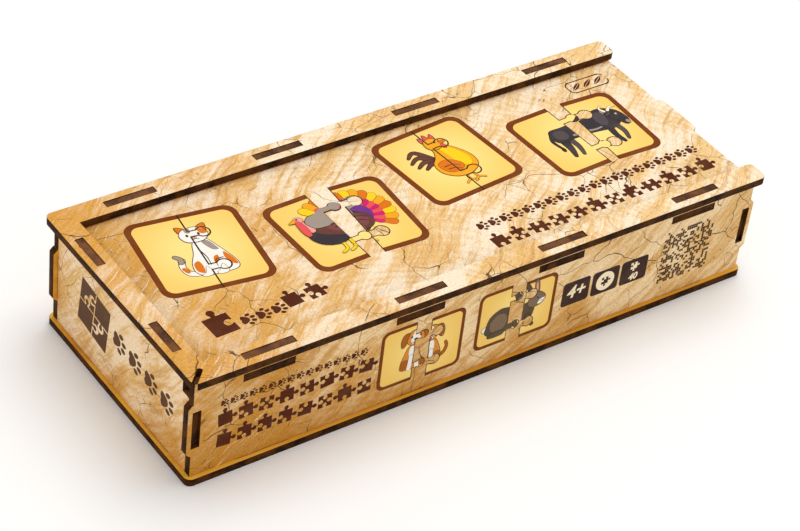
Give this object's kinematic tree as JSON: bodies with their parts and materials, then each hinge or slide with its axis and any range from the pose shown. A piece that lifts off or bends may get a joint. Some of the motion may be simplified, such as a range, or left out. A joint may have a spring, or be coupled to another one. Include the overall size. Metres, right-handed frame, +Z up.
{
  "type": "boxed jigsaw puzzle",
  "caption": "Flat plywood box with finger joints and a sliding lid, holding stacked two-piece wooden card jigsaws.",
  "frame": {"origin": "middle of the underside of the base plate", "axes": "+X along the box, the way the lid slides out; +Y across the box towards the back; +Z up"},
  "size_m": [0.24, 0.098, 0.046],
  "materials": {
    "printed_ply": "printed and lightly varnished plywood with charred cut edges",
    "bare_ply": "bare plywood with charred cut edges",
    "card_ply": "printed plywood card with a brown border"
  },
  "bodies": {
    "box": {"base_plate": "bare_ply", "front_wall": "printed_ply", "back_wall": "printed_ply", "left_end_wall": "printed_ply", "right_end_wall": "printed_ply", "top_frame": "printed_ply", "front_lid_ledge": "bare_ply", "back_lid_ledge": "bare_ply", "puzzle_01_left": "card_ply", "puzzle_01_right": "card_ply", "puzzle_02_left": "card_ply", "puzzle_02_right": "card_ply", "puzzle_03_left": "card_ply", "puzzle_03_right": "card_ply", "puzzle_04_left": "card_ply", "puzzle_04_right": "card_ply", "puzzle_05_left": "card_ply", "puzzle_05_right": "card_ply", "puzzle_06_left": "card_ply", "puzzle_06_right": "card_ply", "puzzle_07_left": "card_ply", "puzzle_07_right": "card_ply", "puzzle_08_left": "card_ply", "puzzle_08_right": "card_ply", "puzzle_09_left": "card_ply", "puzzle_09_right": "card_ply", "puzzle_10_left": "card_ply", "puzzle_10_right": "card_ply", "puzzle_11_left": "card_ply", "puzzle_11_right": "card_ply", "puzzle_12_left": "card_ply", "puzzle_12_right": "card_ply", "puzzle_13_left": "card_ply", "puzzle_13_right": "card_ply", "puzzle_14_left": "card_ply", "puzzle_14_right": "card_ply", "puzzle_15_left": "card_ply", "puzzle_15_right": "card_ply", "puzzle_16_left": "card_ply", "puzzle_16_right": "card_ply", "puzzle_17_left": "card_ply", "puzzle_17_right": "card_ply", "puzzle_18_left": "card_ply", "puzzle_18_right": "card_ply", "puzzle_19_left": "card_ply", "puzzle_19_right": "card_ply", "puzzle_20_left": "card_ply", "puzzle_20_right": "card_ply"},
    "lid": {"sliding_lid": "printed_ply"}
  },
  "joints": [
    {"name": "lid_slide", "type": "slide", "parent": "box", "child": "lid", "axis": [1, 0, 0], "range_m": [0, 0.236]}
  ]
}
